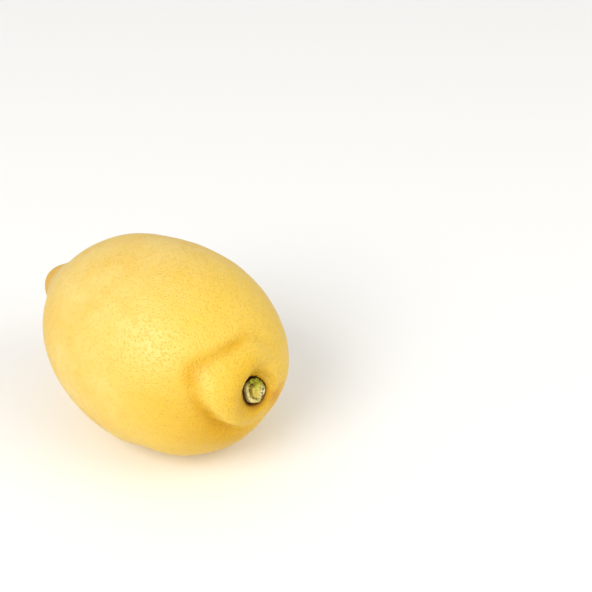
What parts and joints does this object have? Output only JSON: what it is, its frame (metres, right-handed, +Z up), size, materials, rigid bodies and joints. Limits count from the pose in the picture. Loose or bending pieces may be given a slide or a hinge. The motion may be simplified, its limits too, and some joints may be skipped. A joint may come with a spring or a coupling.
{
  "type": "lemon",
  "caption": "Whole lemon lying on its side: an oval fruit with a nipple at the blossom end and a folded collar round a dry woody stalk button. Rests on a slightly flattened underside.",
  "frame": {"origin": "on the surface the fruit rests on, below the middle of its box", "axes": "+X along the fruit towards the stalk end, +Z up"},
  "size_m": [0.0846, 0.0594, 0.0586],
  "materials": {
    "lemon_peel": "waxy satin peel, finely pored",
    "dried_calyx": "dry matte, olive to tan"
  },
  "bodies": {
    "root": {"fruit": "lemon_peel", "stem_button": "dried_calyx"}
  },
  "joints": []
}
